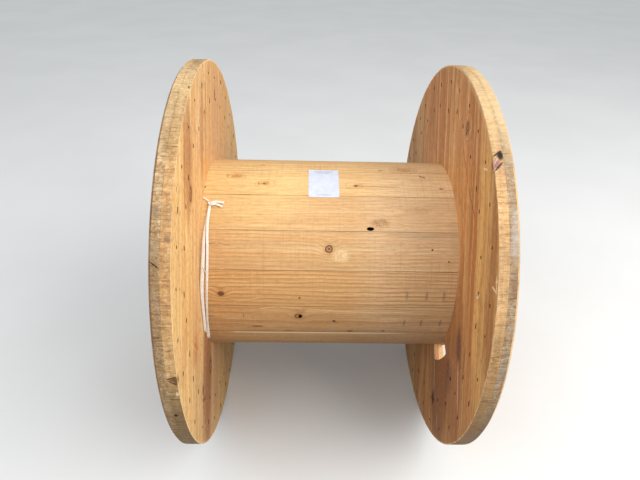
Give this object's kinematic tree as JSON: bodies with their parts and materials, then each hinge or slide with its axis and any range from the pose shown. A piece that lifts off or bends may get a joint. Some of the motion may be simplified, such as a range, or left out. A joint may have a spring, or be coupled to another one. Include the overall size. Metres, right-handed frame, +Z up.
{
  "type": "wooden cable drum",
  "caption": "Wooden cable drum: round flanges of crossed nailed boards on a round barrel of staves, with a slanting start hole for the cable.",
  "frame": {"origin": "on the floor, midway between the flanges and straight below the drum's axis", "axes": "+X along the drum's axis towards the flange with the start hole, +Y to the back, +Z up"},
  "size_m": [0.722, 1, 1],
  "materials": {
    "flange_wood": "planed softwood boards",
    "barrel_wood": "planed softwood staves",
    "zinc_steel": "zinc-plated steel",
    "cotton_tape": "white woven cotton tape"
  },
  "bodies": {
    "root": {"left_inner_board_1": "flange_wood", "left_inner_board_2": "flange_wood", "left_inner_board_3": "flange_wood", "left_inner_board_4": "flange_wood", "left_inner_board_5": "flange_wood", "left_inner_board_6": "flange_wood", "left_inner_board_7": "flange_wood", "left_inner_board_8": "flange_wood", "left_inner_board_9": "flange_wood", "left_outer_board_1": "flange_wood", "left_outer_board_2": "flange_wood", "left_outer_board_3": "flange_wood", "left_outer_board_4": "flange_wood", "left_outer_board_5": "flange_wood", "left_outer_board_6": "flange_wood", "left_outer_board_7": "flange_wood", "left_outer_board_8": "flange_wood", "nuts": "zinc_steel", "right_inner_board_1": "flange_wood", "right_inner_board_2": "flange_wood", "right_inner_board_3": "flange_wood", "right_inner_board_4": "flange_wood", "right_inner_board_5": "flange_wood", "right_inner_board_6": "flange_wood", "right_inner_board_7": "flange_wood", "right_inner_board_8": "flange_wood", "right_inner_board_9": "flange_wood", "right_outer_board_1": "flange_wood", "right_outer_board_2": "flange_wood", "right_outer_board_3": "flange_wood", "right_outer_board_4": "flange_wood", "right_outer_board_5": "flange_wood", "right_outer_board_6": "flange_wood", "right_outer_board_7": "flange_wood", "right_outer_board_8": "flange_wood", "stave_1": "barrel_wood", "stave_10": "barrel_wood", "stave_11": "barrel_wood", "stave_12": "barrel_wood", "stave_13": "barrel_wood", "stave_14": "barrel_wood", "stave_15": "barrel_wood", "stave_16": "barrel_wood", "stave_17": "barrel_wood", "stave_2": "barrel_wood", "stave_3": "barrel_wood", "stave_4": "barrel_wood", "stave_5": "barrel_wood", "stave_6": "barrel_wood", "stave_7": "barrel_wood", "stave_8": "barrel_wood", "stave_9": "barrel_wood", "tape_end": "cotton_tape", "tape_knot": "cotton_tape", "tape_long_left": "cotton_tape", "tape_long_right": "cotton_tape", "tape_tail_lower": "cotton_tape", "tape_tail_upper": "cotton_tape", "tie_bolts": "zinc_steel", "washers": "zinc_steel"}
  },
  "joints": []
}
